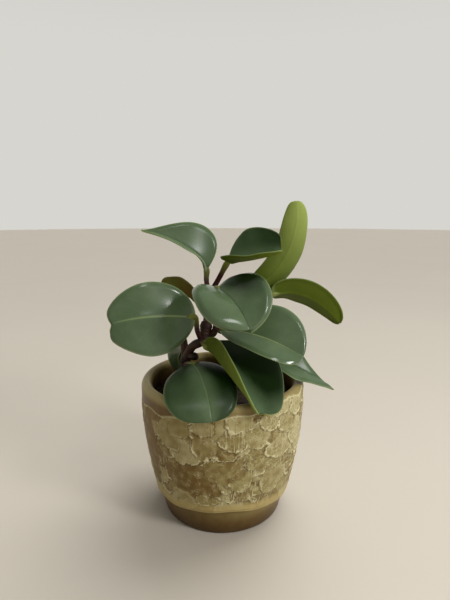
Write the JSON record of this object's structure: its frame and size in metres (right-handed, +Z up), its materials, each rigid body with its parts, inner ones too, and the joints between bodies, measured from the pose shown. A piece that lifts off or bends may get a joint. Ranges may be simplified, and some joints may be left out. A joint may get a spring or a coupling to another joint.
{
  "type": "potted peperomia",
  "caption": "Small house plant with thick, glossy, oval leaves on arching stems, growing in a round glazed pot with a rounded lip and a set-back foot.",
  "frame": {"origin": "centre of the pot's flat base, on the plane that it stands on", "axes": "+Z up along the pot's axis; the pictured side looks towards -Y; +X to that side's right"},
  "size_m": [0.1691, 0.136, 0.2321],
  "materials": {
    "pot_glaze": "satin",
    "soil": "matte",
    "stem_skin": "satin",
    "leaf_skin": "gloss"
  },
  "bodies": {
    "root": {"pot": "pot_glaze", "soil": "soil", "stem_main": "stem_skin", "stem_second": "stem_skin", "leaf_top_left": "leaf_skin", "leaf_top_cupped": "leaf_skin", "leaf_upright": "leaf_skin", "leaf_right_arching": "leaf_skin", "leaf_left_large": "leaf_skin", "leaf_centre": "leaf_skin", "leaf_right_large": "leaf_skin", "leaf_behind_left": "leaf_skin", "leaf_front_trough": "leaf_skin", "leaf_over_rim": "leaf_skin", "leaf_right_pointed": "leaf_skin", "leaf_inside_pot": "leaf_skin", "leaf_back_right": "leaf_skin", "leaf_back_left": "leaf_skin", "leaf_back_middle": "leaf_skin", "leaf_back_low": "leaf_skin"}
  },
  "joints": []
}
